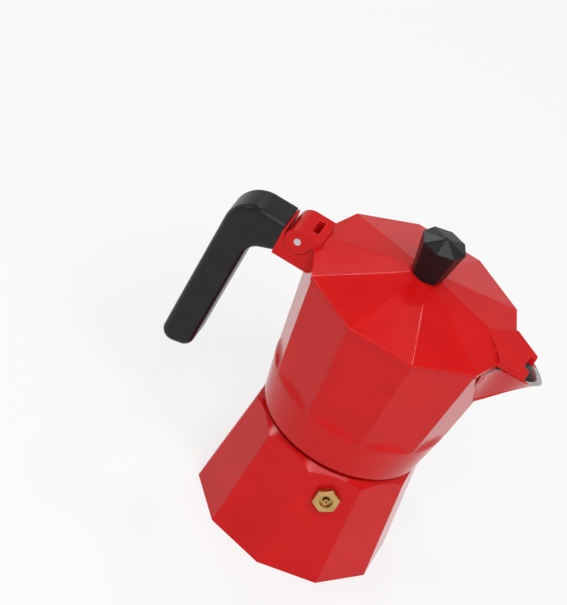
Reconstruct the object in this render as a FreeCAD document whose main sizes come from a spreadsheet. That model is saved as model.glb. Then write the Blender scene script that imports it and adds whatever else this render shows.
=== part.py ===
import FreeCAD, Part
import Sketcher
import math
import os
import re

# Stovetop moka pot, three-cup class, in millimetres.
# +X is the spout, -X the handle, +Z up. The origin is the middle of the flat underside.

SIZES = {
    # boiler: a faceted, tapered pot with a round neck
    "facet_count": 10,
    "boiler_radius": 41.7,
    "shoulder_radius": 36.2,
    "shoulder_height": 48.5,
    "shoulder_bevel": 3.0,
    "neck_height": 14.5,
    "boiler_wall": 3.0,
    "neck_radius": 30.8,
    "neck_wall": 2.8,
    "edge_round": 0.9,
    # safety valve, on the facet beside the front edge
    "valve_drop": 8.4,
    "valve_hole_radius": 4.0,
    "valve_hex_flats": 9.8,
    "valve_hex_depth": 2.4,
    "valve_hex_bevel": 0.9,
    "valve_washer_depth": 0.6,
    "valve_washer_radius": 4.7,
    "valve_nut_flats": 10.0,
    "valve_nut_depth": 2.6,
    "valve_nut_gap": 0.9,
    "valve_stem_gap": 0.3,
    "valve_tail": 1.2,
    "valve_bore_radius": 2.8,
    "valve_orifice_radius": 1.5,
    "valve_seat_depth": 1.4,
    "valve_head_radius": 2.4,
    "valve_head_depth": 1.0,
    "valve_stem_radius": 1.2,
    "valve_stem_hole_radius": 0.5,
    "valve_stem_proud": 0.2,
    "valve_retainer_depth": 1.2,
    "valve_retainer_inset": 1.4,
    "valve_wire": 0.5,
    "valve_spring_turns": 4,
    # funnel with its coffee basket
    "basket_radius": 27.4,
    "basket_depth": 19.0,
    "basket_cone": 5.0,
    "funnel_wall": 0.8,
    "funnel_flange_depth": 1.0,
    "funnel_flange_radius": 30.2,
    "funnel_tube_radius": 4.8,
    "funnel_foot_gap": 6.0,
    "strainer_depth": 0.8,
    "strainer_hole_radius": 0.75,
    "strainer_hole_step": 3.6,
    # rubber gasket and filter plate under the collector
    "gasket_depth": 3.0,
    "gasket_radius": 31.4,
    "gasket_bore_radius": 25.0,
    "filter_radius": 28.6,
    "filter_depth": 0.8,
    "filter_gap": 0.2,
    # collector: round collar below, faceted walls above
    "collar_radius": 35.0,
    "collar_rim_radius": 38.3,
    "collar_gap": 2.9,
    "collar_height": 18.3,
    "collar_bevel": 5.0,
    "collar_bevel_inset": 1.6,
    "wall_foot_radius": 38.6,
    "wall_rim_radius": 45.4,
    "wall_height": 49.0,
    "collector_wall": 2.6,
    "floor_depth": 2.6,
    "dome_radius": 27.0,
    "dome_height": 7.0,
    "column_radius": 6.4,
    "column_tip_radius": 4.8,
    "column_bore_radius": 3.0,
    "column_height": 32.0,
    "column_slot_height": 6.0,
    "column_slot_width": 3.2,
    "column_spigot": 2.0,
    "column_wall": 1.2,
    # screw thread between the boiler's neck and the collar
    "thread_pitch": 3.0,
    "thread_depth": 0.9,
    "thread_foot": 1.5,
    "thread_crest": 0.7,
    "thread_gap": 0.35,
    "thread_bury": 0.3,
    "thread_start": 2.2,
    "thread_end": 1.9,
    # spout: a beak drawn out of the front edge
    "spout_reach": 60.5,
    "spout_wall": 1.5,
    "spout_root_half": 24.0,
    "spout_root_depth": 30.0,
    "spout_neck_half": 12.9,
    "spout_neck_reach": 44.0,
    "spout_neck_depth": 24.0,
    "spout_mouth_half": 7.6,
    "spout_mouth_reach": 54.0,
    "spout_mouth_depth": 11.2,
    "spout_tip_half": 1.3,
    "spout_tip_depth": 4.9,
    "spout_slope": 12.7,
    "keel_width": 0.2,
    "keel_rise": 0.12,
    "keel_wall": 2.25,
    # lid: a low faceted roof with a nose over the spout and a hinge tab
    "lid_gap": 0.3,
    "lid_radius": 46.0,
    "lid_rim": 2.0,
    "lid_rise": 10.3,
    "lid_top_radius": 7.4,
    "lid_wall": 2.0,
    "nose_root_reach": 31.5,
    "nose_width_reach": 42.0,
    "nose_half": 12.3,
    "nose_front_reach": 54.0,
    "nose_front_half": 7.5,
    "nose_notch": 2.8,
    "nose_notch_half": 4.2,
    "nose_depth": 3.3,
    "nose_corner": 1.2,
    # hinge
    "hinge_reach": 50.0,
    "hinge_drop": 2.5,
    "knuckle_radius": 5.5,
    "hinge_half": 8.7,
    "hinge_pin_radius": 1.5,
    "lug_half": 4.4,
    "lug_radius": 4.0,
    "web_inset": 1.8,
    "hinge_gap": 0.3,
    "pin_gap": 0.05,
    "slot_reach": 45.8,
    "slot_width": 2.8,
    "tab_root_reach": 41.5,
    "lid_opening": 100.0,
    "bracket_reach": 57.2,
    "bracket_drop": 10.5,
    "bracket_lip": 1.9,
    # handle
    "tongue_length": 13.0,
    "tongue_half": 4.0,
    "tongue_height": 6.5,
    "handle_gap": 0.15,
    "handle_rise": 3.9,
    "handle_top_reach": 80.0,
    "handle_foot_reach": 82.0,
    "handle_foot_height": 46.0,
    "handle_inner_reach": 66.5,
    "handle_inner_foot_reach": 68.5,
    "handle_inner_drop": 4.0,
    "handle_foot_slant": 3.0,
    "handle_corner": 13.0,
    "handle_inner_corner": 7.0,
    "handle_round_share": 0.22,
    "handle_foot_share": 0.37,
    "handle_screw_reach": 62.2,
    "handle_screw_radius": 2.0,
    "handle_screw_head_radius": 3.6,
    "handle_screw_head_depth": 2.4,
    "handle_screw_floor": 1.6,
    "handle_screw_length": 5.0,
    "tongue_drop": 8.0,
    # knob
    "knob_sides": 8,
    "knob_foot_radius": 6.6,
    "knob_radius": 9.7,
    "knob_height": 16.6,
    "knob_crown": 2.2,
    "knob_crown_radius": 1.2,
    "knob_round": 0.5,
    "insert_radius": 3.2,
    "insert_depth": 8.0,
    "knob_screw_radius": 2.0,
    "knob_screw_hole_gap": 0.2,
    "knob_screw_head_radius": 3.6,
    "knob_screw_head_depth": 2.2,
    "knob_washer_radius": 4.6,
    "knob_washer_depth": 0.8,
}

# Sizes that follow from the ones above
DERIVED = {
    "boiler_height": "shoulder_height + shoulder_bevel + neck_height",
    "valve_height": "shoulder_height - valve_drop",
    "thread_turns": "(neck_height - collar_gap - thread_start - thread_end) / thread_pitch",
    "handle_foot_width": "handle_foot_reach - handle_inner_foot_reach",
    "handle_round": "handle_round_share * handle_foot_width",
    "handle_foot_round": "handle_foot_share * handle_foot_width",
}

doc = FreeCAD.newDocument("moka_pot")
sheet = doc.addObject("Spreadsheet::Sheet", "sizes")
cells = [(alias, str(number)) for alias, number in SIZES.items()]
cells += [(alias, f"={formula}") for alias, formula in DERIVED.items()]
for row, (alias, content) in enumerate(cells, 1):
    sheet.set(f"A{row}", alias)
    sheet.set(f"B{row}", content)
    sheet.setAlias(f"B{row}", alias)
doc.recompute()

X_AXIS = FreeCAD.Vector(1, 0, 0)
Y_AXIS = FreeCAD.Vector(0, 1, 0)
Z_AXIS = FreeCAD.Vector(0, 0, 1)


def size(alias):
    """A size as a plain number, read back from the sheet."""
    return float(sheet.get(alias))


def link(text):
    """Turn a formula in size names into an expression on the sheet."""
    def cell(match):
        word = match.group()
        return f"sizes.{word}" if word in SIZES or word in DERIVED else word
    return re.sub(r"[a-z_]+", cell, text)


def bind(obj, **formulas):
    """Bind properties of an object to formulas in size names."""
    for prop, formula in formulas.items():
        obj.setExpression(prop, link(formula))
    return obj


def put(obj, x="0", y="0", z="0", turn=None):
    """Place an object by three formulas, after an optional fixed turn."""
    if turn:
        obj.Placement = FreeCAD.Placement(FreeCAD.Vector(), turn)
    for axis, formula in (("x", x), ("y", y), ("z", z)):
        if formula != "0":
            obj.setExpression(f"Placement.Base.{axis}", link(formula))
    return obj


def about(axis, degrees):
    return FreeCAD.Rotation(axis, degrees)


def box(name, length, width, height, x, y, z, turn=None):
    return put(bind(doc.addObject("Part::Box", name), Length=length, Width=width, Height=height), x, y, z,
               turn)


def cylinder(name, radius, height, x="0", y="0", z="0", turn=None):
    return put(bind(doc.addObject("Part::Cylinder", name), Radius=radius, Height=height), x, y, z, turn)


def cone(name, low, high, height, z="0"):
    return put(bind(doc.addObject("Part::Cone", name), Radius1=low, Radius2=high, Height=height), z=z)


def facets(name, count, rings, turn=0.0):
    """A straight-sided solid through regular polygons given as (corner radius, height)."""
    sections = []
    for index, (radius, height) in enumerate(rings):
        ring = doc.addObject("Part::RegularPolygon", f"{name}_ring{index}")
        bind(ring, Polygon=count, Circumradius=radius)
        put(ring, z=height, turn=about(Z_AXIS, turn))
        sections.append(ring)
    loft = doc.addObject("Part::Loft", name)
    loft.Sections = sections
    loft.Solid = True
    loft.Ruled = True
    return loft


def rounded(name, base, alias, wanted):
    """Round the edges of a solid for which wanted(edge) holds."""
    doc.recompute()
    fillet = doc.addObject("Part::Fillet", name)
    fillet.Base = base
    radius = size(alias)
    picked = [i for i, edge in enumerate(base.Shape.Edges, 1) if wanted(edge)]
    fillet.Edges = [(i, radius, radius) for i in picked]
    return fillet


def cut(name, base, *tools):
    """Base with the tools taken away."""
    result = doc.addObject("Part::Cut", name)
    result.Base = base
    result.Tool = tools[0] if len(tools) == 1 else fuse(f"{name}_tools", *tools)
    return result


def fuse(name, *shapes):
    """The shapes as one; faces are left as they meet, which keeps helical ones sound."""
    result = doc.addObject("Part::MultiFuse", name)
    result.Shapes = list(shapes)
    result.Refine = False
    return result


def common(name, *shapes):
    result = doc.addObject("Part::MultiCommon", name)
    result.Shapes = list(shapes)
    return result


def origin_plane(body, role):
    return [feature for feature in body.Origin.OriginFeatures if feature.Role == role][0]


def outline(body, name, role, points):
    """A closed sketch of straight lines whose corners sit at the given pairs of formulas."""
    sketch = body.newObject("Sketcher::SketchObject", name)
    sketch.AttachmentSupport = [(origin_plane(body, role), "")]
    sketch.MapMode = "FlatFace"
    count = len(points)
    ring = [FreeCAD.Vector(math.cos(2 * math.pi * k / count), math.sin(2 * math.pi * k / count), 0)
            for k in range(count)]
    for k in range(count):
        sketch.addGeometry(Part.LineSegment(ring[k], ring[(k + 1) % count]), False)
    for k in range(count):
        sketch.addConstraint(Sketcher.Constraint("Coincident", k, 2, (k + 1) % count, 1))
    for k, (across, along) in enumerate(points):
        for kind, formula in (("DistanceX", across), ("DistanceY", along)):
            number = sketch.addConstraint(Sketcher.Constraint(kind, -1, 1, k, 1, 1.0))
            sketch.setExpression(f"Constraints[{number}]", link(formula))
    return sketch


def turned(name, points):
    """A body of revolution about its own Z axis, from an outline of (radius, height) formulas."""
    body = doc.addObject("PartDesign::Body", name)
    sketch = outline(body, f"{name}_outline", "XZ_Plane", points)
    spin = body.newObject("PartDesign::Revolution", f"{name}_turn")
    spin.Profile = sketch
    spin.ReferenceAxis = (sketch, ["V_Axis"])
    spin.Angle = 360.0
    return body


def padded(name, role, points, length):
    """A body padded evenly to both sides of an origin plane."""
    body = doc.addObject("PartDesign::Body", name)
    pad = body.newObject("PartDesign::Pad", f"{name}_pad")
    pad.Profile = outline(body, f"{name}_outline", role, points)
    pad.SideType = "Symmetric"
    bind(pad, Length=length)
    return body


def upright(edge):
    """True for the slanted or vertical edges between facets, not those lying in a level plane."""
    low, high = sorted(vertex.Point.z for vertex in edge.Vertexes)
    return high - low > size("edge_round")


def feature(name, shape):
    result = doc.addObject("Part::Feature", name)
    result.Shape = shape
    return result


# Heights and radii that several pieces share, as formulas
FLANGE_TOP = "(boiler_height + funnel_flange_depth)"
CEILING = f"({FLANGE_TOP} + gasket_depth)"
COLLAR_BOTTOM = "(shoulder_height + shoulder_bevel + collar_gap)"
COLLAR_TOP = f"({COLLAR_BOTTOM} + collar_height)"
RIM = f"({COLLAR_TOP} + wall_height)"
FLOOR = f"({CEILING} + filter_depth + floor_depth)"
DOME_TOP = f"({FLOOR} + dome_height)"
COLUMN_TOP = f"({DOME_TOP} + column_height)"
LID_BOTTOM = f"({RIM} + lid_gap)"
LID_RIM = f"({LID_BOTTOM} + lid_rim)"
LID_TOP = f"({LID_RIM} + lid_rise)"
HINGE_Z = f"({LID_RIM} - hinge_drop)"
SHOULDER_TOP = "(shoulder_height + shoulder_bevel)"
NECK_BORE = "(neck_radius - neck_wall)"
COLLAR_BORE = "(neck_radius + thread_depth + thread_gap)"
SEAT_RADIUS = "(knuckle_radius + hinge_gap)"
LIP_START = "(wall_rim_radius - collector_wall)"
VALVE_TOP = "(valve_washer_depth + valve_hex_depth)"
VALVE_BACK = "(0 - boiler_wall - valve_nut_gap - valve_nut_depth - valve_tail)"
VALVE_SEAT = f"({VALVE_BACK} + valve_seat_depth)"
RETAINER_OUT = f"({VALVE_TOP} - valve_retainer_inset)"
RETAINER_IN = f"({RETAINER_OUT} - valve_retainer_depth)"
TONGUE_BOTTOM = f"({HINGE_Z} - tongue_drop)"
# How far a cutting tool runs past the face that it cuts
PAST = "2"

FACET = 360.0 / size("facet_count")
# The valve sits on the eighth facet round from the spout; the boiler is turned by half a facet
VALVE_AZIMUTH = 8 * FACET
HEX_CORNER = 1 / math.sqrt(3)
# The valve's hexagon has a corner to each side
HEX_TURN = 42.5
# The helix starts away from the seam of the cylinder that it lies on
THREAD_TURN = 33.0


def collar_bottom_number():
    """The height of the collar's lower edge as a number."""
    return size("shoulder_height") + size("shoulder_bevel") + size("collar_gap")


def rim_number():
    """The collector's rim height as a number."""
    return collar_bottom_number() + size("collar_height") + size("wall_height")


def valve_placement():
    """The valve's frame: on its facet, local Z along the outward normal."""
    half = math.radians(FACET / 2)
    lean = (size("boiler_radius") - size("shoulder_radius")) * math.cos(half) / size("shoulder_height")
    apothem = size("boiler_radius") * math.cos(half) - lean * size("valve_height")
    way = math.radians(VALVE_AZIMUTH)
    place = FreeCAD.Vector(apothem * math.cos(way), apothem * math.sin(way), size("valve_height"))
    normal = FreeCAD.Vector(math.cos(way), math.sin(way), lean)
    return FreeCAD.Placement(place, FreeCAD.Rotation(Z_AXIS, normal))


def thread_ridge(name, root, depth, start):
    """A helical ridge on a cylinder of the given root radius; a negative depth points inwards."""
    pitch = size("thread_pitch")
    foot = size("thread_foot") / 2
    crest = size("thread_crest") / 2
    buried = root - math.copysign(size("thread_bury"), depth)
    corners = [(buried, -foot), (root + depth, -crest), (root + depth, crest), (buried, foot)]
    path = Part.makeHelix(pitch, pitch * size("thread_turns"), root)
    profile = Part.makePolygon([FreeCAD.Vector(r, 0, z) for r, z in corners + corners[:1]])
    ridge = Part.Wire(path.Edges).makePipeShell([profile], True, True)
    if ridge.Volume < 0:
        ridge.reverse()
    ridge.rotate(FreeCAD.Vector(), Z_AXIS, THREAD_TURN)
    ridge.translate(FreeCAD.Vector(0, 0, start))
    return feature(name, ridge)


def thread_low():
    """Where the boiler's thread starts, as a number."""
    return collar_bottom_number() + size("thread_start")


def sieve(name, radius, depth, height):
    """A round plate with a square grid of small holes."""
    step = size("strainer_hole_step")
    hole = size("strainer_hole_radius")
    reach = int(radius / step)
    rings = [Part.Wire(Part.makeCircle(radius))]
    for column in range(-reach, reach + 1):
        for line in range(-reach, reach + 1):
            middle = FreeCAD.Vector(column * step, line * step, 0)
            if middle.Length < radius - step:
                rings.append(Part.Wire(Part.makeCircle(hole, middle)))
    plate = Part.Face(rings, "Part::FaceMakerBullseye").extrude(Z_AXIS * depth)
    plate.translate(FreeCAD.Vector(0, 0, height))
    return feature(name, plate)


def make_boiler():
    taper = "(boiler_radius - shoulder_radius) / shoulder_height"
    shell = facets("boiler_facets", "facet_count", [
        ("boiler_radius", "0"),
        (f"boiler_radius - {taper} * {SHOULDER_TOP}", SHOULDER_TOP)], FACET / 2)
    wide = f"(boiler_radius + {PAST})"
    turned_shoulder = turned("boiler_shoulder", [
        ("0", "0"), (wide, "0"), (wide, f"shoulder_height + shoulder_radius - {wide}"),
        ("shoulder_radius - shoulder_bevel", SHOULDER_TOP), ("0", SHOULDER_TOP)])
    body = common("boiler_body", rounded("boiler_rounded", shell, "edge_round", upright), turned_shoulder)
    low = f"boiler_radius * cos({FACET / 2}) - boiler_wall"
    high = f"shoulder_radius * cos({FACET / 2}) - boiler_wall"
    chamber = cone("boiler_chamber", low, high, "shoulder_height - 2 * boiler_wall", "boiler_wall")
    throat = cone("boiler_throat", high, NECK_BORE, "boiler_wall", "shoulder_height - boiler_wall")
    mouth = cylinder("boiler_mouth", NECK_BORE, f"shoulder_bevel + {PAST}", z="shoulder_height")
    hole = cylinder("boiler_valve_hole", "valve_hole_radius", "4 * boiler_wall")
    inwards = FreeCAD.Placement(Z_AXIS * (-2 * size("boiler_wall")), FreeCAD.Rotation())
    hole.Placement = valve_placement().multiply(inwards)
    pot = cut("boiler_pot", body, chamber, throat, mouth, hole)
    neck_height = f"boiler_height - {SHOULDER_TOP}"
    neck = cut("boiler_neck", cylinder("neck_outside", "neck_radius", neck_height, z=SHOULDER_TOP),
               cylinder("neck_inside", NECK_BORE, neck_height, z=SHOULDER_TOP))
    ridge = thread_ridge("boiler_thread", size("neck_radius"), size("thread_depth"), thread_low())
    return fuse("boiler", pot, fuse("boiler_threaded_neck", neck, ridge))


def make_valve():
    corner = f"valve_hex_flats * {HEX_CORNER}"
    washer = turned("valve_washer", [
        ("valve_hole_radius", "0"), ("valve_washer_radius", "0"),
        ("valve_washer_radius", "valve_washer_depth"), ("valve_hole_radius", "valve_washer_depth")])
    hexagon = facets("valve_hex", "6", [(corner, "valve_washer_depth"), (corner, VALVE_TOP)], HEX_TURN)
    limit = turned("valve_hex_limit", [
        ("0", "0"), (corner, "0"), (corner, f"{VALVE_TOP} - valve_hex_bevel / 2"),
        (f"{corner} - valve_hex_bevel", VALVE_TOP), ("0", VALVE_TOP)])
    shank = cylinder("valve_shank", "valve_hole_radius", f"valve_washer_depth - {VALVE_BACK}", z=VALVE_BACK)
    chamber = cylinder("valve_chamber", "valve_bore_radius", f"{VALVE_TOP} - {VALVE_SEAT} + {PAST}",
                       z=VALVE_SEAT)
    orifice = cylinder("valve_orifice", "valve_orifice_radius", f"valve_seat_depth + 2 * {PAST}",
                       z=f"{VALVE_BACK} - {PAST}")
    crowned = common("valve_hex_crowned", hexagon, limit)
    body = cut("valve_body", fuse("valve_body_solid", crowned, shank), chamber, orifice)
    nut_top = "(0 - boiler_wall - valve_nut_gap)"
    nut_corner = f"valve_nut_flats * {HEX_CORNER}"
    nut_hex = facets("valve_nut_hex", "6", [(nut_corner, f"{nut_top} - valve_nut_depth"),
                                            (nut_corner, nut_top)])
    nut_bore = cylinder("valve_nut_bore", "valve_hole_radius", f"valve_nut_depth + 2 * {PAST}",
                        z=f"{nut_top} - valve_nut_depth - {PAST}")
    nut = cut("valve_nut", nut_hex, nut_bore)
    stem_top = f"({VALVE_TOP} + valve_stem_proud)"
    shoulder = f"({VALVE_SEAT} + valve_head_depth)"
    stem = turned("valve_stem", [
        ("0", VALVE_SEAT), ("valve_head_radius", VALVE_SEAT), ("valve_head_radius", shoulder),
        ("valve_stem_radius", shoulder), ("valve_stem_radius", stem_top),
        ("valve_stem_hole_radius", stem_top), ("valve_stem_hole_radius", f"{stem_top} - valve_head_depth"),
        ("0", f"{stem_top} - valve_head_depth")])
    hole = "(valve_stem_radius + valve_stem_gap)"
    ring = turned("valve_retainer", [
        (hole, RETAINER_IN), ("valve_bore_radius", RETAINER_IN),
        ("valve_bore_radius", RETAINER_OUT), (hole, RETAINER_OUT)])
    pieces = [washer, body, nut, stem, ring, make_spring()]
    for piece in pieces:
        piece.Placement = valve_placement()
    return pieces


def biarc(start, start_way, end, end_way):
    """Two arcs that join two points smoothly, leaving along start_way and arriving along end_way."""
    span = end - start
    both = start_way + end_way
    bend = 2 * (1 - start_way.dot(end_way))
    reach = (-span.dot(both) + math.sqrt(span.dot(both) ** 2 + bend * span.dot(span))) / bend
    first = start + start_way * reach
    second = end - end_way * reach
    joint = (first + second) * 0.5
    arcs = []
    for low, corner, high in ((start, first, joint), (joint, second, end)):
        weight = (high - low).Length / (2 * reach)
        middle = (low + corner * (2 * weight) + high) * (1 / (2 + 2 * weight))
        arcs.append(Part.Arc(low, middle, high).toShape())
    return arcs


def make_spring():
    """The valve spring: one wire wound as a helix of half-turn biarcs, with its gap measured."""
    wire = size("valve_wire") / 2
    radius = (size("valve_stem_radius") + size("valve_bore_radius")) / 2
    top = size("valve_washer_depth") + size("valve_hex_depth")
    back = -sum(size(a) for a in ("boiler_wall", "valve_nut_gap", "valve_nut_depth", "valve_tail"))
    low = back + size("valve_seat_depth") + size("valve_head_depth") + wire
    high = top - size("valve_retainer_inset") - size("valve_retainer_depth") - wire
    turns = int(size("valve_spring_turns"))
    rise = (high - low) / turns

    def spot(turn):
        angle = 2 * math.pi * turn
        return FreeCAD.Vector(radius * math.cos(angle), radius * math.sin(angle), low + rise * turn)

    def way(turn):
        angle = 2 * math.pi * turn
        lead = rise / (2 * math.pi)
        return FreeCAD.Vector(-radius * math.sin(angle), radius * math.cos(angle), lead).normalize()

    edges = []
    for half in range(2 * turns):
        edges += biarc(spot(half / 2), way(half / 2), spot(half / 2 + 0.5), way(half / 2 + 0.5))
    section = Part.Wire(Part.makeCircle(wire, spot(0), way(0)))
    tube = Part.Wire(edges).makePipeShell([section], True, False)
    steps = 24
    points = [spot(k / steps) for k in range(turns * steps + 1)]
    gap = min((a - b).Length for i, a in enumerate(points) for b in points[i + steps // 2:]) - 2 * wire
    print(f"valve spring least gap to itself {gap:.2f} mm")
    return feature("valve_spring", tube)


def make_funnel():
    bottom = "(boiler_height - basket_depth)"
    throat = f"({bottom} - basket_cone)"
    foot = "(boiler_wall + funnel_foot_gap)"
    inner = "(basket_radius - funnel_wall)"
    bore = "(funnel_tube_radius - funnel_wall)"
    ledge = f"({inner} - 2 * funnel_wall)"
    funnel = turned("funnel", [
        (bore, foot), ("funnel_tube_radius", foot), ("funnel_tube_radius", throat), ("basket_radius", bottom),
        ("basket_radius", "boiler_height"), ("funnel_flange_radius", "boiler_height"),
        ("funnel_flange_radius", FLANGE_TOP), (inner, FLANGE_TOP), (inner, f"{bottom} + funnel_wall"),
        (ledge, f"{bottom} + funnel_wall"), (bore, f"{throat} + funnel_wall")])
    height = size("boiler_height") - size("basket_depth") + size("funnel_wall")
    radius = size("basket_radius") - size("funnel_wall")
    strainer = sieve("funnel_strainer", radius, size("strainer_depth"), height)
    return [funnel, strainer]


def make_seals():
    gasket = turned("gasket", [
        ("gasket_bore_radius", FLANGE_TOP), ("gasket_radius", FLANGE_TOP),
        ("gasket_radius", CEILING), ("gasket_bore_radius", CEILING)])
    height = size("boiler_height") + size("funnel_flange_depth") + size("gasket_depth")
    plate = sieve("filter_plate", size("filter_radius"), size("filter_depth"), height)
    return [gasket, plate]


def spout_shape(name, start, inset=0.0, keel_inset=0.0, raised=0.0):
    """The beak as a smooth loft of V-shaped sections; the insets shrink it to the pouring channel."""
    slope = math.tan(math.radians(size("spout_slope")))
    rim = rim_number()
    lip_start = size("wall_rim_radius") - size("collector_wall")
    stations = [(start, size("spout_root_half"), size("spout_root_depth"))]
    for part in ("neck", "mouth"):
        stations.append((size(f"spout_{part}_reach"), size(f"spout_{part}_half"),
                         size(f"spout_{part}_depth")))
    stations.append((size("spout_reach") - inset, size("spout_tip_half"), size("spout_tip_depth")))
    wires = []
    for reach, half, depth in stations:
        lip = rim - slope * max(0.0, reach - lip_start)
        wide = max(half - inset, size("spout_tip_half") / 3)
        keel = rim - depth + keel_inset
        shoulder = wide * size("keel_width")
        keel_side = keel + (lip - keel) * size("keel_rise")
        top = lip + raised
        corners = [(-wide, top), (-wide, lip), (-shoulder, keel_side), (0, keel),
                   (shoulder, keel_side), (wide, lip), (wide, top)]
        spots = [FreeCAD.Vector(reach, y, z) for y, z in corners]
        edges = [Part.makeLine(spots[1], spots[2]), Part.Arc(*spots[2:5]).toShape(),
                 Part.makeLine(spots[4], spots[5])]
        if raised:
            edges += [Part.makeLine(spots[5], spots[6]), Part.makeLine(spots[6], spots[0]),
                      Part.makeLine(spots[0], spots[1])]
        else:
            edges.append(Part.makeLine(spots[5], spots[1]))
        wires.append(Part.Wire(edges))
    return feature(name, Part.makeLoft(wires, True, False))


def make_collector():
    collar_share = f"({FLANGE_TOP} - {COLLAR_BOTTOM}) / collar_height"
    split = f"(collar_radius + (collar_rim_radius - collar_radius) * {collar_share})"
    collar = cone("collar", split, "collar_rim_radius", f"{COLLAR_TOP} - {FLANGE_TOP}", FLANGE_TOP)
    ledge = cone("collar_ledge", "collar_rim_radius", "collar_rim_radius - collar_bevel_inset",
                 "collar_bevel", COLLAR_TOP)
    walls = rounded("collector_walls", facets("collector_facets", "facet_count", [
        ("wall_foot_radius", COLLAR_TOP), ("wall_rim_radius", RIM)]), "edge_round", upright)
    spout = spout_shape("spout_beak", size("wall_foot_radius"))
    reach = "(0 - bracket_reach)"
    pin_x = "(0 - hinge_reach)"
    width = "2 * hinge_half"
    block = box("bracket_block", "bracket_reach - wall_foot_radius", width, "bracket_drop + bracket_lip",
                reach, "0 - hinge_half", f"{HINGE_Z} - bracket_drop")
    along = about(X_AXIS, -90)
    seat = cylinder("bracket_seat", SEAT_RADIUS, f"{width} + 2 * {PAST}", pin_x, f"0 - hinge_half - {PAST}",
                    HINGE_Z, along)
    over = box("bracket_over", "hinge_reach", f"{width} + 2 * {PAST}", "2 * knuckle_radius",
               pin_x, f"0 - hinge_half - {PAST}", RIM)
    lean = "(lid_opening - 90)"
    swing = box("bracket_swing", "4 * knuckle_radius", f"{width} + 2 * {PAST}", "2 * knuckle_radius",
                f"{pin_x} - {SEAT_RADIUS} * cos({lean})", f"0 - hinge_half - {PAST}",
                f"{HINGE_Z} - {SEAT_RADIUS} * sin({lean})", about(Y_AXIS, 90 - size("lid_opening")))
    bracket = cut("bracket", block, seat, over, swing)
    lug = cylinder("lug", "lug_radius", "2 * lug_half", pin_x, "0 - lug_half", HINGE_Z, along)
    web = box("lug_web", "hinge_reach - web_inset - wall_foot_radius", "2 * lug_half",
              "bracket_drop - hinge_gap",
              f"{pin_x} + web_inset", "0 - lug_half", f"{HINGE_Z} - bracket_drop + hinge_gap")
    tongue = box("tongue", "tongue_length + bracket_reach - hinge_reach - knuckle_radius", "2 * tongue_half",
                 "tongue_height", f"{reach} - tongue_length", "0 - tongue_half", TONGUE_BOTTOM)
    tongue_cut = cut("tongue_trimmed", tongue, cylinder("tongue_seat", SEAT_RADIUS, f"{width}", pin_x,
                                                        "0 - hinge_half", HINGE_Z, along))
    dome = cone("dome", "dome_radius", "column_radius", "dome_height", FLOOR)
    solid = fuse("collector_solid", collar, ledge, walls, spout, bracket, lug, web, tongue_cut)
    cavity = facets("collector_cavity", "facet_count", [
        ("wall_foot_radius - collector_wall", FLOOR),
        ("wall_rim_radius - collector_wall", RIM),
        ("wall_rim_radius - collector_wall", f"{RIM} + {PAST}")])
    channel = spout_shape("spout_channel", size("wall_foot_radius") - size("collector_wall"),
                          size("spout_wall"), size("keel_wall"), 2 * float(PAST))
    hollow = cut("collector_hollow", solid, cavity, channel)
    domed = fuse("collector_domed", hollow, dome)
    bore = cylinder("collar_bore", COLLAR_BORE, f"gasket_depth + {PAST}", z=f"{FLANGE_TOP} - {PAST}")
    recess = cylinder("filter_recess", "filter_radius + filter_gap", f"filter_depth + {PAST}",
                      z=f"{CEILING} - {PAST}")
    vault_low = f"({CEILING} + filter_depth)"
    vault_high = f"({DOME_TOP} - column_spigot)"
    socket = "(column_bore_radius + column_wall)"
    vault = cone("vault", "dome_radius - floor_depth / 2", socket, f"{vault_high} - {vault_low}", vault_low)
    throat = cylinder("column_socket", socket, f"column_spigot + {PAST}", z=vault_high)
    pin_bore = cylinder("lug_bore", "hinge_pin_radius + pin_gap", f"{width}", pin_x, "0 - hinge_half",
                        HINGE_Z, along)
    screw_bore = cylinder("tongue_bore", "handle_screw_radius", "handle_screw_length + hinge_gap",
                          "0 - handle_screw_reach", z=TONGUE_BOTTOM)
    pot = cut("collector_pot", domed, bore, recess, vault, throat, pin_bore, screw_bore)
    root = size("neck_radius") + size("thread_depth") + size("thread_gap")
    ridge = thread_ridge("collar_thread", root, -size("thread_depth"),
                         thread_low() + size("thread_pitch") / 2)
    skirt_height = f"{FLANGE_TOP} - {COLLAR_BOTTOM}"
    skirt = cut("collar_skirt", cone("skirt_outside", "collar_radius", split, skirt_height, COLLAR_BOTTOM),
                cylinder("skirt_inside", COLLAR_BORE, skirt_height, z=COLLAR_BOTTOM))
    return fuse("collector", pot, fuse("collar_threaded_skirt", skirt, ridge))


def make_column():
    socket = "(column_bore_radius + column_wall)"
    low = f"({DOME_TOP} - column_spigot)"
    cap = f"({COLUMN_TOP} - column_wall)"
    tube = turned("column_tube", [
        ("column_bore_radius", low), (socket, low), (socket, DOME_TOP), ("column_radius", DOME_TOP),
        ("column_tip_radius", COLUMN_TOP), ("0", COLUMN_TOP), ("0", cap), ("column_bore_radius", cap)])
    slot = box("column_slot", "column_slot_width", "4 * column_tip_radius", "column_slot_height",
               "0 - column_slot_width / 2", "0 - 2 * column_tip_radius", f"{cap} - column_slot_height")
    return cut("column", tube, slot)


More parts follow.
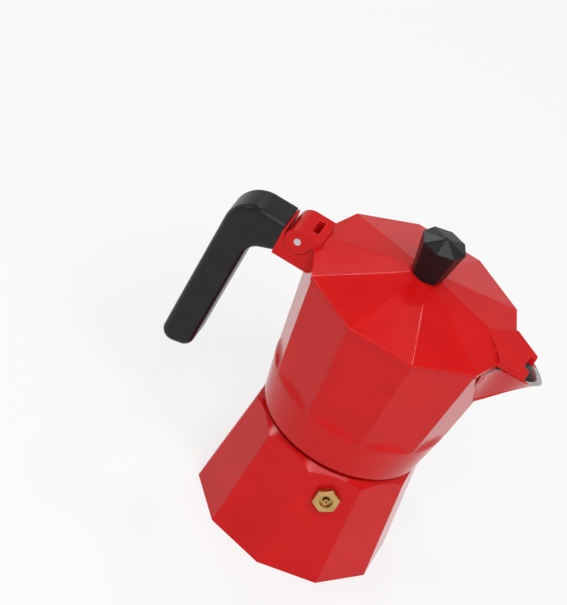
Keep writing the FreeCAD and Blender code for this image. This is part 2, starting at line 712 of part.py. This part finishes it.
def make_lid():
    slant = "lid_rise / (lid_radius - lid_top_radius)"
    roof = rounded("lid_roof", facets("lid_facets", "facet_count", [
        ("lid_radius", LID_BOTTOM), ("lid_radius", LID_RIM), ("lid_top_radius", LID_TOP)]), "edge_round",
        upright)
    hollow = facets("lid_hollow", "facet_count", [
        ("lid_radius - lid_wall", f"{LID_BOTTOM} - {PAST}"),
        ("lid_radius - lid_wall", f"{LID_RIM} + lid_wall * {slant} - lid_wall"),
        ("lid_top_radius", f"{LID_TOP} - lid_wall")])
    plan = padded("nose_plan", "XY_Plane", [
        ("nose_root_reach", "0"), ("nose_width_reach", "0 - nose_half"),
        ("nose_front_reach", "0 - nose_front_half"),
        ("nose_front_reach", "0 - nose_notch_half - nose_notch / 4"),
        ("nose_front_reach - nose_notch", "0 - nose_notch_half"),
        ("nose_front_reach - nose_notch", "nose_notch_half"),
        ("nose_front_reach", "nose_notch_half + nose_notch / 4"),
        ("nose_front_reach", "nose_front_half"),
        ("nose_width_reach", "nose_half")], f"4 * {LID_TOP}")
    front = size("nose_front_reach")
    soft_plan = rounded("nose_plan_soft", plan, "nose_corner",
                        lambda edge: upright(edge) and edge.Vertexes[0].Point.x > front - size("nose_corner"))
    slope = "spout_slope"
    slab = box("nose_slab", "2 * nose_front_reach", "4 * nose_half", "nose_depth",
               f"{LIP_START} - nose_front_reach * cos({slope})", "0 - 2 * nose_half",
               f"{LID_BOTTOM} + nose_front_reach * sin({slope})", about(Y_AXIS, size("spout_slope")))
    nose = common("nose", soft_plan, slab)
    pin_x = "(0 - hinge_reach)"
    width = "2 * hinge_half"
    along = about(X_AXIS, -90)
    tab = box("tab", "hinge_reach - tab_root_reach", width, f"{HINGE_Z} + knuckle_radius - {LID_BOTTOM}",
              pin_x, "0 - hinge_half", LID_BOTTOM)
    knuckle = cylinder("knuckle", "knuckle_radius", width, pin_x, "0 - hinge_half", HINGE_Z, along)
    gap_half = "(lug_half + hinge_gap)"
    space = cylinder("knuckle_space", "lug_radius + hinge_gap", f"2 * {gap_half}", pin_x, f"0 - {gap_half}",
                     HINGE_Z, along)
    slot_end = "(slot_width / 2 - slot_reach)"
    under = box("knuckle_under", f"{slot_end} + hinge_reach + 2 * knuckle_radius", f"2 * {gap_half}",
                "2 * knuckle_radius", f"{pin_x} - 2 * knuckle_radius", f"0 - {gap_half}",
                f"{HINGE_Z} - 2 * knuckle_radius")
    slot = box("tab_slot", "slot_width", f"2 * {gap_half}", "4 * knuckle_radius",
               f"{slot_end} - slot_width", f"0 - {gap_half}", f"{HINGE_Z} - 2 * knuckle_radius")
    pin_hole = cylinder("knuckle_bore", "hinge_pin_radius", f"{width} + 2 * {PAST}", pin_x,
                        f"0 - hinge_half - {PAST}", HINGE_Z, along)
    screw_hole = cylinder("lid_screw_hole", "knob_screw_radius + knob_screw_hole_gap",
                          f"lid_wall + 2 * {PAST}",
                          z=f"{LID_TOP} - lid_wall - {PAST}")
    shell = cut("lid_shell", roof, hollow, screw_hole)
    return cut("lid", fuse("lid_solid", shell, nose, tab, knuckle), space, under, slot, pin_hole)


def make_hinge_pin():
    return cylinder("hinge_pin", "hinge_pin_radius", "2 * hinge_half", "0 - hinge_reach", "0 - hinge_half",
                    HINGE_Z, about(X_AXIS, -90))


def make_knob():
    solid = facets("knob_facets", "knob_sides", [
        ("knob_foot_radius", LID_TOP), ("knob_radius", f"{LID_TOP} + knob_height"),
        ("knob_crown_radius", f"{LID_TOP} + knob_height + knob_crown")])
    soft = rounded("knob_soft", solid, "knob_round", upright)
    knob = cut("knob", soft, cylinder("knob_hole", "insert_radius", "insert_depth", z=LID_TOP))
    insert = cut("knob_insert", cylinder("insert_sleeve", "insert_radius", "insert_depth", z=LID_TOP),
                 cylinder("insert_bore", "knob_screw_radius", "insert_depth", z=LID_TOP))
    under = f"({LID_TOP} - lid_wall)"
    washer_low = f"({under} - knob_washer_depth)"
    washer = cut("knob_washer", cylinder("knob_washer_disc", "knob_washer_radius", "knob_washer_depth",
                                         z=washer_low),
                 cylinder("knob_washer_bore", "knob_screw_radius + knob_screw_hole_gap", "knob_washer_depth",
                          z=washer_low))
    head = cylinder("knob_screw_head", "knob_screw_head_radius", "knob_screw_head_depth",
                    z=f"{washer_low} - knob_screw_head_depth")
    shank = cylinder("knob_screw_shank", "knob_screw_radius", "insert_depth + lid_wall + knob_washer_depth",
                     z=washer_low)
    slot = box("knob_screw_slot", "2 * knob_screw_head_radius", "knob_screw_radius / 2",
               "knob_screw_head_depth / 2",
               "0 - knob_screw_head_radius", "0 - knob_screw_radius / 4",
               f"{washer_low} - knob_screw_head_depth")
    screw = cut("knob_screw", fuse("knob_screw_solid", head, shank), slot)
    return [knob, insert, washer, screw]


def make_handle():
    near = "(0 - bracket_reach - handle_gap)"
    top = f"({HINGE_Z} + handle_rise)"
    low = f"({HINGE_Z} - bracket_drop)"
    solid = padded("handle_side", "XZ_Plane", [
        (near, low), (near, top), ("0 - handle_top_reach", top),
        ("0 - handle_foot_reach", "handle_foot_height"),
        ("0 - handle_inner_foot_reach", "handle_foot_height + handle_foot_slant"),
        ("0 - handle_inner_reach", f"{low} - handle_inner_drop")], "2 * hinge_half")
    doc.recompute()
    near_number = -size("bracket_reach") - size("handle_gap")

    def across(edge):
        return abs(edge.Vertexes[0].Point.y - edge.Vertexes[-1].Point.y) > size("hinge_half")

    def at_reach(edge, alias):
        return across(edge) and abs(edge.Vertexes[0].Point.x + size(alias)) < 1e-3

    def at_foot(edge):
        return at_reach(edge, "handle_foot_reach") or at_reach(edge, "handle_inner_foot_reach")

    bent = rounded("handle_bent", solid, "handle_corner", lambda edge: at_reach(edge, "handle_top_reach"))
    crooked = rounded("handle_crooked", bent, "handle_inner_corner",
                      lambda edge: at_reach(edge, "handle_inner_reach"))
    footed = rounded("handle_footed", crooked, "handle_foot_round", at_foot)

    def side_edge(edge):
        points = [vertex.Point for vertex in edge.Vertexes]
        level = all(abs(abs(p.y) - size("hinge_half")) < 1e-3 for p in points)
        return level and not all(abs(p.x - near_number) < 1e-3 for p in points)

    soft = rounded("handle_soft", footed, "handle_round", side_edge)
    mortise = box("handle_mortise", "tongue_length + 2 * handle_gap", "2 * tongue_half + 2 * handle_gap",
                  "tongue_height + 2 * handle_gap", "0 - bracket_reach - tongue_length - 2 * handle_gap",
                  "0 - tongue_half - handle_gap", f"{TONGUE_BOTTOM} - handle_gap")
    screw_x = "(0 - handle_screw_reach)"
    head_top = f"({TONGUE_BOTTOM} - handle_gap - handle_screw_floor)"
    shaft = cylinder("handle_screw_hole", "handle_screw_radius + handle_gap",
                     "handle_screw_floor + 2 * handle_gap",
                     screw_x, z=f"{head_top} - handle_gap")
    well = cylinder("handle_screw_well", "handle_screw_head_radius + handle_gap",
                    "4 * handle_screw_head_depth",
                    screw_x, z=f"{head_top} - 4 * handle_screw_head_depth")
    handle = cut("handle", soft, mortise, shaft, well)
    head = cylinder("handle_screw_head", "handle_screw_head_radius", "handle_screw_head_depth", screw_x,
                    z=f"{head_top} - handle_screw_head_depth")
    shank = cylinder("handle_screw_shank", "handle_screw_radius",
                     "handle_screw_floor + handle_gap + handle_screw_length", screw_x, z=head_top)
    slot = box("handle_screw_slot", "2 * handle_screw_head_radius", "handle_screw_radius / 2",
               "handle_screw_head_depth / 2", f"{screw_x} - handle_screw_head_radius",
               "0 - handle_screw_radius / 4",
               f"{head_top} - handle_screw_head_depth")
    screw = cut("handle_screw", fuse("handle_screw_solid", head, shank), slot)
    return [handle, screw]


def main():
    nodes = [make_boiler()]
    nodes += make_valve()
    nodes += make_funnel()
    nodes += make_seals()
    nodes += [make_collector(), make_column(), make_lid(), make_hinge_pin()]
    nodes += make_knob()
    nodes += make_handle()
    doc.recompute()
    for obj in doc.Objects:
        if "Invalid" in obj.State or "Error" in obj.State:
            raise RuntimeError(f"{obj.Name} failed: {obj.State}")
    for node in nodes:
        shape = node.Shape
        if shape.isNull() or not shape.isValid() or len(shape.Solids) != 1:
            raise RuntimeError(f"{node.Name} has no single valid solid")
    os.makedirs("parts", exist_ok=True)
    for node in nodes:
        node.Label = node.Name
        node.Shape.exportStep(os.path.join("parts", f"{node.Name}.step"))
        print(f"{node.Name} {node.Shape.Volume:.0f} mm3")


main()
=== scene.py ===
import math

import bpy
from mathutils import Matrix, Vector

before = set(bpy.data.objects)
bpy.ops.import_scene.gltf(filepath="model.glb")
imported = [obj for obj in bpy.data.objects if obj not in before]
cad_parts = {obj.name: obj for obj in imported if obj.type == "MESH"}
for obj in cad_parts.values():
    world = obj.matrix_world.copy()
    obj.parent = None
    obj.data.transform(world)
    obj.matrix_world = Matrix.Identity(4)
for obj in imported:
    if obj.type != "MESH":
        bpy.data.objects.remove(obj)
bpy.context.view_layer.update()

MM = 0.001

# The camera: where it stands round the pot, how far it rolls, and what it looks at
IMAGE_LONG_SIDE = 605
CAMERA_AZIMUTH = 4.17
CAMERA_ELEVATION = 35.25
CAMERA_ROLL = 28.74
CAMERA_DISTANCE = 1.4
CAMERA_FOCAL_PIXELS = 3474.1
CAMERA_SENSOR = 36.0
CAMERA_NEAR = 50 * MM
POT_MIDDLE = Vector((0, 0, 62 * MM))
TARGET_RIGHT = -27.7 * MM
TARGET_UP = 40.7 * MM

# The main lamp
KEY_PLACE = (0.42, -0.80, 1.28)
KEY_SIZE = 0.9
KEY_POWER = 12.3
# Small lamps that the rounded edges of the lid and the boiler's shoulder reflect towards the camera
GLINTS = {
    "ridge_left": (-0.34, 0.61, 0.71),
    "ridge_front": (0.06, 0.435, 0.895),
    "rim_front": (-0.059, -0.093, 0.994),
    "shoulder_left": (-0.764, -0.158, 0.619),
    "shoulder_front": (-0.06, -0.576, 0.809),
}
GLINT_DISTANCE = 1.3
GLINT_SIZE = 0.13
GLINT_POWER = 1.3
# How bright the studio is near the horizon and overhead, and between which steepnesses it fades
HORIZON = 0.70
OVERHEAD = 0.28
FADE_START = 0.15
FADE_END = 0.75
# The floor's paper: its size and roughness, how much of it glows and how white
FLOOR_SIZE = 12.0
FLOOR_ROUGH = 0.9
PAPER_GLOW = 0.72
PAPER_WHITE = 0.99

# Colours, linear
WHITE = (1, 1, 1, 1)
RED = (0.600, 0.0060, 0.0065, 1)
RED_DEEP = (0.545, 0.0050, 0.0060, 1)
# A lighter red painted on edges as a highlight along the ridges
RED_EDGE_HIGHLIGHT = (0.760, 0.060, 0.045, 1)
BARE_METAL = (0.760, 0.758, 0.750, 1)
BARE_METAL_DULL = (0.640, 0.640, 0.640, 1)
BLACK = (0.0065, 0.0065, 0.0075, 1)
BLACK_WORN = (0.014, 0.014, 0.016, 1)
BRASS = (0.640, 0.415, 0.160, 1)
BRASS_DULL = (0.430, 0.265, 0.095, 1)
STEEL = (0.620, 0.620, 0.630, 1)
STEEL_DULL = (0.480, 0.480, 0.490, 1)
RUBBER = (0.780, 0.765, 0.710, 1)
RUBBER_STAINED = (0.640, 0.590, 0.500, 1)
FIBRE = (0.330, 0.105, 0.070, 1)
FIBRE_DARK = (0.240, 0.075, 0.050, 1)
FLOOR = (0.860, 0.860, 0.860, 1)

# Which of a noise's values are spread over a whole look: most, only the middle, or more of the upper ones
MOST = (0.3, 0.7)
MIDDLE = (0.35, 0.65)
UPPER = (0.3, 0.75)

# The red coat: its soft edges and the lighter red painted on them as a highlight, its cloudy, smeared and
# peel-like patterns, and its shine
COAT_EDGE = 0.45 * MM
COAT_EDGE_HIGHLIGHT = 0.45
COAT_CLOUD = 22 * MM
COAT_SMEAR = 6 * MM
COAT_PEEL = 1.3 * MM
COAT_PEEL_DEPTH = 0.02 * MM
COAT_PEEL_STRENGTH = 0.25
COAT_ROUGH = (0.11, 0.17)
COAT_SPECULAR = 0.17
# The cast metal that shows where there is no coat
CAST_GRAIN = 0.9 * MM
CAST_DEPTH = 0.05 * MM
CAST_STRENGTH = 0.4
CAST_ROUGH = (0.34, 0.50)
# The other metals and the moulded pieces
METAL_EDGE = 0.15 * MM
METAL_CLOUD = 5 * MM
MOULDED_CLOUD = 9 * MM
MOULDED_CLOUD_SHARE = 0.6
MOULDED_SPECULAR = 0.27
GRAIN_STRENGTH = 0.5
# A bent normal counts as an edge from the first of these cosines on, and fully at the second
EDGE_COSINES = (0.985, 0.90)
# How finely the soft edges are sampled
EDGE_SAMPLES = 6

# Where the coat ends on the collector: heights, radii and reaches
COLLAR_TOP = 72.7 * MM
COLLAR_INSIDE = 33.4 * MM
WALL_INSIDE_LOW = 36.35 * MM
WALL_INSIDE_HIGH = 43.0 * MM
RIM = 121.7 * MM
RIM_DEPTH = 0.4 * MM
SPOUT_START = 36.0 * MM
SPOUT_LOW = 84.0 * MM
LIP_BARE = 57.0 * MM
BRACKET_START = -43.0 * MM
# Reach and half width of the pouring channel where it leaves the wall, at its neck and at its mouth
CHANNEL_ROOT = (36.0 * MM, 22.5 * MM)
CHANNEL_NECK = (44.0 * MM, 11.3 * MM)
CHANNEL_MOUTH = (54.0 * MM, 6.0 * MM)
# Where it ends on the boiler
BOILER_FLOOR = 0.5 * MM
BOILER_INSIDE_LOW = 38.1 * MM
BOILER_INSIDE_HIGH = 32.9 * MM
SHOULDER = 48.5 * MM
NECK_START = 55.0 * MM
NECK_INSIDE = 29.4 * MM
# Where it ends on the lid: radius and height of the roof at its top and at its edge, the depth of the coated
# skin, the reach of the inside and of the rim, and the start of the hinge tab
LID_TOP = (7.0 * MM, 134.3 * MM)
LID_EDGE = (43.75 * MM, 124.0 * MM)
LID_SKIN = 0.9 * MM
LID_INSIDE = 42.5 * MM
LID_RIM = 44.5 * MM
TAB_START = -42.0 * MM
# The upward part of a normal above which a face lies level or looks up and below which it looks down, and
# the forward part below which it looks back
LOOKS_LEVEL_UP = 0.95
LOOKS_UP = 0.05
LOOKS_DOWN = -0.25
LOOKS_BACK = -0.05
# A face looks inwards where its level normal times its level place is below this
FACES_INWARD = -0.02 * MM
# The band over the collar where facets and ledge flow together, how far it fades at each end, and how wide
# the soft edges are there
FLOW_BAND = (70.5 * MM, 82.0 * MM)
FLOW_FADE = 2.0 * MM
FLOWING_RADIUS = 2.5 * MM

# Places of the two inputs and the output in a mix node's lists of sockets
COLOUR_SOCKETS = (6, 7, 2)
VECTOR_SOCKETS = (4, 5, 1)


class Shader:
    """One material with a single principled shader and a few ways of adding nodes to it."""

    def __init__(self, name):
        self.material = bpy.data.materials.new(name)
        self.material.use_nodes = True
        self.tree = self.material.node_tree
        self.main = self.tree.nodes["Principled BSDF"]
        self.place = self.node("ShaderNodeTexCoord").outputs["Object"]

    def node(self, kind, **settings):
        """A new node of a kind, with its settings."""
        made = self.tree.nodes.new(kind)
        for key, value in settings.items():
            setattr(made, key, value)
        return made

    def feed(self, socket, value):
        """Link an output to a socket, or set the socket to a plain value."""
        if isinstance(value, bpy.types.NodeSocket):
            self.tree.links.new(value, socket)
        else:
            socket.default_value = value

    def set(self, **inputs):
        """Set inputs of the principled shader; underscores stand for spaces."""
        for key, value in inputs.items():
            self.feed(self.main.inputs[key.replace("_", " ")], value)

    def math(self, operation, *values):
        """The result of a math node."""
        made = self.node("ShaderNodeMath", operation=operation)
        for socket, value in zip(made.inputs, values):
            self.feed(socket, value)
        return made.outputs[0]

    def times(self, first, second):
        """A product; that of two masks is 1 where both are."""
        return self.math("MULTIPLY", first, second)

    def plus(self, first, second):
        """A sum."""
        return self.math("ADD", first, second)

    def above(self, value, limit):
        """A mask that is 1 where value is greater than limit."""
        return self.math("GREATER_THAN", value, limit)

    def below(self, value, limit):
        """A mask that is 1 where value is less than limit."""
        return self.math("LESS_THAN", value, limit)

    def either(self, first, *others):
        """A mask that is 1 where any of the masks is."""
        for mask in others:
            first = self.math("MAXIMUM", first, mask)
        return first

    def choose(self, mask, where_one, where_zero):
        """One number where the mask is 1, and another where it is 0."""
        other = self.math("SUBTRACT", 1.0, mask)
        return self.plus(self.times(where_one, mask), self.times(where_zero, other))

    def span(self, value, from_range, to_range=(0.0, 1.0)):
        """Map a value from one range to another, held at the ends."""
        made = self.node("ShaderNodeMapRange")
        for socket, number in zip(made.inputs, (value, *from_range, *to_range)):
            self.feed(socket, number)
        return made.outputs[0]

    def noise(self, feature, detail=3.0, roughness=0.55, stretch=(1, 1, 1)):
        """Noise whose lumps are about feature metres wide."""
        mapping = self.node("ShaderNodeMapping")
        self.feed(mapping.inputs["Vector"], self.place)
        mapping.inputs["Scale"].default_value = stretch
        made = self.node("ShaderNodeTexNoise")
        self.feed(made.inputs["Vector"], mapping.outputs[0])
        made.inputs["Scale"].default_value = 1 / feature
        made.inputs["Detail"].default_value = detail
        made.inputs["Roughness"].default_value = roughness
        return made.outputs[0]

    def blend(self, data_type, sockets, share, first, second):
        """Something between two colours or two vectors."""
        made = self.node("ShaderNodeMix", data_type=data_type)
        one, two, result = sockets
        self.feed(made.inputs["Factor"], share)
        self.feed(made.inputs[one], first)
        self.feed(made.inputs[two], second)
        return made.outputs[result]

    def mix(self, share, first, second):
        """A colour between two colours."""
        return self.blend("RGBA", COLOUR_SOCKETS, share, first, second)

    def blend_normals(self, share, first, second):
        """A normal between two normals."""
        unit = self.node("ShaderNodeVectorMath", operation="NORMALIZE")
        self.feed(unit.inputs[0], self.blend("VECTOR", VECTOR_SOCKETS, share, first, second))
        return unit.outputs[0]

    def soft_normal(self, radius):
        """The normal as if sharp edges were rounded by radius."""
        bevel = self.node("ShaderNodeBevel", samples=EDGE_SAMPLES)
        bevel.inputs["Radius"].default_value = radius
        return bevel.outputs[0]

    def edge_mask(self, normal):
        """A mask that is 1 on edges, where a soft normal leaves the surface's own."""
        dot = self.node("ShaderNodeVectorMath", operation="DOT_PRODUCT")
        self.feed(dot.inputs[0], normal)
        self.feed(dot.inputs[1], self.true_normal())
        return self.span(dot.outputs["Value"], EDGE_COSINES)

    def true_normal(self):
        """The surface's own normal, in the world's frame."""
        return self.node("ShaderNodeNewGeometry").outputs["True Normal"]

    def bump(self, height, depth, normal, strength):
        """A bumped normal; depth is the height of the relief in metres."""
        made = self.node("ShaderNodeBump")
        made.inputs["Strength"].default_value = strength
        made.inputs["Distance"].default_value = depth
        self.feed(made.inputs["Height"], height)
        self.feed(made.inputs["Normal"], normal)
        return made.outputs[0]

    def split(self, vector):
        """The three parts of a vector."""
        made = self.node("ShaderNodeSeparateXYZ")
        self.feed(made.inputs[0], vector)
        return made.outputs

    def parts_of_place(self):
        """The place on the piece, in the piece's frame, and its distance from the upright axis."""
        x, y, z = self.split(self.place)
        return x, y, z, self.math("SQRT", self.plus(self.times(x, x), self.times(y, y)))

    def parts_of_normal(self):
        """The surface's own normal, in the piece's frame."""
        turn = self.node("ShaderNodeVectorTransform", vector_type="NORMAL",
                         convert_from="WORLD", convert_to="OBJECT")
        self.feed(turn.inputs[0], self.true_normal())
        return self.split(turn.outputs[0])


def enamel(name, bare_mask, flowing_mask=None):
    """Baked red enamel; where bare_mask(shader) is 1 the cast aluminium underneath shows.
    Where flowing_mask(shader) is 1, edges flow into each other under a thicker coat."""
    s = Shader(name)
    normal = s.soft_normal(COAT_EDGE)
    edge = s.edge_mask(normal)
    if flowing_mask:
        normal = s.blend_normals(flowing_mask(s), normal, s.soft_normal(FLOWING_RADIUS))
    smear = s.noise(COAT_SMEAR, detail=5)
    red = s.mix(s.span(s.noise(COAT_CLOUD, detail=4), MIDDLE), RED_DEEP, RED)
    # Lighter red painted on the edges: a painted highlight along the ridges and rims
    red = s.mix(s.times(edge, COAT_EDGE_HIGHLIGHT), red, RED_EDGE_HIGHLIGHT)
    red_rough = s.span(smear, MOST, COAT_ROUGH)
    coat = s.bump(s.noise(COAT_PEEL, detail=2), COAT_PEEL_DEPTH, normal, COAT_PEEL_STRENGTH)
    bare = bare_mask(s)
    grain = s.noise(CAST_GRAIN, detail=4, roughness=0.65)
    cast = s.mix(s.span(smear, MIDDLE), BARE_METAL_DULL, BARE_METAL)
    cast_rough = s.span(grain, MOST, CAST_ROUGH)
    relief = s.bump(s.times(grain, bare), CAST_DEPTH, coat, CAST_STRENGTH)
    s.set(Base_Color=s.mix(bare, red, cast), Metallic=bare, Roughness=s.choose(bare, cast_rough, red_rough),
          Normal=relief, Specular_IOR_Level=COAT_SPECULAR)
    return s.material


def collector_bare(s):
    """Inside the walls and the collar, on the rim, and in the spout's channel and on its lip."""
    x, y, z, radius = s.parts_of_place()
    forward, across, up = s.parts_of_normal()
    wall = s.span(z, (COLLAR_TOP, RIM), (WALL_INSIDE_LOW, WALL_INSIDE_HIGH))
    inside = s.below(radius, s.choose(s.above(z, COLLAR_TOP), wall, COLLAR_INSIDE))
    to_neck = s.span(x, (CHANNEL_ROOT[0], CHANNEL_NECK[0]), (CHANNEL_ROOT[1], CHANNEL_NECK[1]))
    past_neck = s.span(x, (CHANNEL_NECK[0], CHANNEL_MOUTH[0]), (0.0, CHANNEL_NECK[1] - CHANNEL_MOUTH[1]))
    channel = s.below(s.math("ABSOLUTE", y), s.math("SUBTRACT", to_neck, past_neck))
    upper = s.times(s.above(up, LOOKS_UP), s.either(channel, s.above(x, LIP_BARE)))
    inward = s.below(s.times(across, y), FACES_INWARD)
    backward = s.below(forward, LOOKS_BACK)
    in_spout = s.times(s.above(x, SPOUT_START), s.above(z, SPOUT_LOW))
    spout = s.times(in_spout, s.either(upper, inward, backward))
    rim = s.times(s.above(up, LOOKS_LEVEL_UP), s.above(z, RIM - RIM_DEPTH))
    return s.either(inside, spout, s.times(rim, s.above(x, BRACKET_START)))


def collar_flow(s):
    """The band over the collar, where the facets run out into the round ledge."""
    z = s.parts_of_place()[2]
    low, high = FLOW_BAND
    rising = s.span(z, (low, low + FLOW_FADE))
    falling = s.span(z, (high - FLOW_FADE, high), (1.0, 0.0))
    return s.times(rising, falling)


def boiler_bare(s):
    """Inside the boiler, and all of its threaded neck."""
    z, radius = s.parts_of_place()[2:]
    wall = s.span(z, (0.0, SHOULDER), (BOILER_INSIDE_LOW, BOILER_INSIDE_HIGH))
    under_shoulder = s.times(s.above(z, BOILER_FLOOR), s.below(z, SHOULDER))
    inside = s.times(s.below(radius, wall), under_shoulder)
    mouth = s.times(s.below(radius, NECK_INSIDE), s.above(z, SHOULDER))
    return s.either(inside, mouth, s.above(z, NECK_START))


def lid_bare(s):
    """The underside of the lid up to its hinge tab, with the steps in it."""
    x, y, z, radius = s.parts_of_place()
    forward, across, up = s.parts_of_normal()
    under = s.below(up, LOOKS_DOWN)
    roof = s.span(radius, (LID_TOP[0], LID_EDGE[0]), (LID_TOP[1] - LID_SKIN, LID_EDGE[1] - LID_SKIN))
    inner = s.times(s.below(z, roof), s.below(radius, LID_INSIDE))
    outward = s.plus(s.times(forward, x), s.times(across, y))
    in_rim = s.times(s.below(z, LID_EDGE[1]), s.below(radius, LID_RIM))
    rim = s.times(s.below(outward, FACES_INWARD), in_rim)
    return s.times(s.either(under, inner, rim), s.above(x, TAB_START))


def metal(name, bright, dull, rough, grain_size, relief, stretch=(1, 1, 1)):
    """Bare metal with a fine directional or cast grain and a slow change of polish."""
    s = Shader(name)
    cloud = s.span(s.noise(METAL_CLOUD, detail=4), MOST)
    grain = s.noise(grain_size, roughness=0.6, stretch=stretch)
    normal = s.bump(grain, relief, s.soft_normal(METAL_EDGE), GRAIN_STRENGTH)
    s.set(Base_Color=s.mix(cloud, dull, bright), Metallic=1.0, Roughness=s.span(grain, MOST, rough),
          Normal=normal)
    return s.material


def moulded(name, colour, worn, rough, grain_size, relief, edge_radius, edge_share):
    """A moulded plastic, rubber or fibre with a fine texture and rubbed edges; on the black the lighter edge
    colour is also a painted highlight.
    """
    s = Shader(name)
    soft = s.soft_normal(edge_radius)
    cloud = s.span(s.noise(MOULDED_CLOUD, detail=5), UPPER, (0.0, MOULDED_CLOUD_SHARE))
    grain = s.noise(grain_size, roughness=0.6)
    # Edge colour: rubbing, and on the black also a painted highlight along the edges
    rubbed_and_sheen = s.times(s.edge_mask(soft), edge_share)
    s.set(Base_Color=s.mix(rubbed_and_sheen, s.mix(cloud, colour, worn), worn), Roughness=s.span(grain, MOST, rough),
          Specular_IOR_Level=MOULDED_SPECULAR, Normal=s.bump(grain, relief, soft, GRAIN_STRENGTH))
    return s.material


def dress():
    """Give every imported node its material."""
    aluminium = metal("bare_aluminium", BARE_METAL, BARE_METAL_DULL, rough=(0.28, 0.42),
                      grain_size=0.5 * MM, relief=0.02 * MM, stretch=(1, 1, 6))
    brass = metal("turned_brass", BRASS, BRASS_DULL, rough=(0.24, 0.40),
                  grain_size=0.35 * MM, relief=0.02 * MM)
    steel = metal("bright_steel", STEEL, STEEL_DULL, rough=(0.20, 0.34),
                  grain_size=0.4 * MM, relief=0.01 * MM, stretch=(1, 6, 1))
    # The black's lighter worn colour on its edges is partly rubbing and partly a painted highlight along the
    # knob's and handle's edges
    black = moulded("black_plastic", BLACK, BLACK_WORN, rough=(0.30, 0.36),
                    grain_size=0.7 * MM, relief=0.0008 * MM, edge_radius=0.5 * MM, edge_share=0.7)
    rubber = moulded("gasket_rubber", RUBBER, RUBBER_STAINED, rough=(0.55, 0.75),
                     grain_size=0.6 * MM, relief=0.03 * MM, edge_radius=0.2 * MM, edge_share=0.3)
    fibre = moulded("sealing_fibre", FIBRE, FIBRE_DARK, rough=(0.65, 0.85),
                    grain_size=0.3 * MM, relief=0.03 * MM, edge_radius=0.1 * MM, edge_share=0.3)
    finish = {
        "boiler": enamel("boiler_enamel", boiler_bare),
        "collector": enamel("collector_enamel", collector_bare, collar_flow),
        "lid": enamel("lid_enamel", lid_bare),
    }
    for material, names in (
            (aluminium, "funnel funnel_strainer filter_plate column"),
            (brass, "valve_body valve_nut valve_stem valve_retainer knob_insert"),
            (steel, "valve_spring hinge_pin knob_washer knob_screw handle_screw"),
            (black, "knob handle"),
            (rubber, "gasket"),
            (fibre, "valve_washer")):
        finish.update({name: material for name in names.split()})
    for name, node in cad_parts.items():
        for slot in node.material_slots:
            slot.material = finish[name]


def add_floor():
    """Pale paper: it takes the shadow, and seen directly or in a reflection it glows to a plain white."""
    s = Shader("floor_paper")
    s.set(Base_Color=FLOOR, Roughness=FLOOR_ROUGH)
    path = s.node("ShaderNodeLightPath").outputs
    seen = s.either(path["Is Camera Ray"], path["Is Glossy Ray"], path["Is Transmission Ray"])
    glow = s.node("ShaderNodeEmission")
    glow.inputs["Strength"].default_value = PAPER_WHITE
    both = s.node("ShaderNodeMixShader")
    s.feed(both.inputs[0], s.times(seen, PAPER_GLOW))
    s.feed(both.inputs[1], s.main.outputs[0])
    s.feed(both.inputs[2], glow.outputs[0])
    s.feed(s.tree.nodes["Material Output"].inputs["Surface"], both.outputs[0])
    bpy.ops.mesh.primitive_plane_add(size=FLOOR_SIZE)
    floor = bpy.context.object
    floor.name = "floor"
    floor.data.materials.append(s.material)


def add_lamp(name, place, width, power):
    """A square lamp that is turned to the middle of the pot."""
    lamp = bpy.data.lights.new(name, "AREA")
    lamp.shape = "SQUARE"
    lamp.size = width
    lamp.energy = power
    stand = bpy.data.objects.new(name, lamp)
    stand.location = place
    stand.rotation_euler = (POT_MIDDLE - Vector(place)).to_track_quat("-Z", "Y").to_euler()
    bpy.context.scene.collection.objects.link(stand)


def add_studio():
    """A white room, brighter near the horizon than overhead."""
    world = bpy.data.worlds.new("studio")
    world.use_nodes = True
    tree = world.node_tree
    sky = tree.nodes["Background"]
    sky.inputs["Color"].default_value = WHITE
    way = tree.nodes.new("ShaderNodeSeparateXYZ")
    fade = tree.nodes.new("ShaderNodeMapRange")
    for socket, number in zip(fade.inputs[1:5], (FADE_START, FADE_END, HORIZON, OVERHEAD)):
        socket.default_value = number
    tree.links.new(tree.nodes.new("ShaderNodeTexCoord").outputs["Generated"], way.inputs[0])
    tree.links.new(way.outputs[2], fade.inputs[0])
    tree.links.new(fade.outputs[0], sky.inputs["Strength"])
    bpy.context.scene.world = world


def add_lamps():
    """The main lamp, and the small ones for the glints."""
    add_lamp("key", KEY_PLACE, KEY_SIZE, KEY_POWER)
    for name, way in GLINTS.items():
        add_lamp(name, POT_MIDDLE + Vector(way) * GLINT_DISTANCE, GLINT_SIZE, GLINT_POWER)


def add_camera():
    """A rolled camera, so that the upright pot is tilted in the picture."""
    angles = (CAMERA_AZIMUTH, CAMERA_ELEVATION, CAMERA_ROLL)
    azimuth, elevation, roll = (math.radians(angle) for angle in angles)
    level = Vector((math.cos(azimuth), math.sin(azimuth), 0))
    outwards = Vector((math.sin(azimuth), -math.cos(azimuth), 0))
    back = outwards * math.cos(elevation) + Vector((0, 0, math.sin(elevation)))
    upright = back.cross(level)
    right = level * math.cos(roll) + upright * math.sin(roll)
    up = upright * math.cos(roll) - level * math.sin(roll)
    place = POT_MIDDLE + right * TARGET_RIGHT + up * TARGET_UP + back * CAMERA_DISTANCE
    lens = bpy.data.cameras.new("camera")
    lens.sensor_width = CAMERA_SENSOR
    lens.lens = CAMERA_FOCAL_PIXELS * CAMERA_SENSOR / IMAGE_LONG_SIDE
    lens.clip_start = CAMERA_NEAR
    camera = bpy.data.objects.new("camera", lens)
    turn = Matrix((right, up, back)).transposed().to_4x4()
    camera.matrix_world = Matrix.Translation(place) @ turn
    bpy.context.scene.collection.objects.link(camera)
    bpy.context.scene.camera = camera


dress()
add_floor()
add_studio()
add_lamps()
add_camera()
bpy.context.scene.view_settings.view_transform = "Standard"
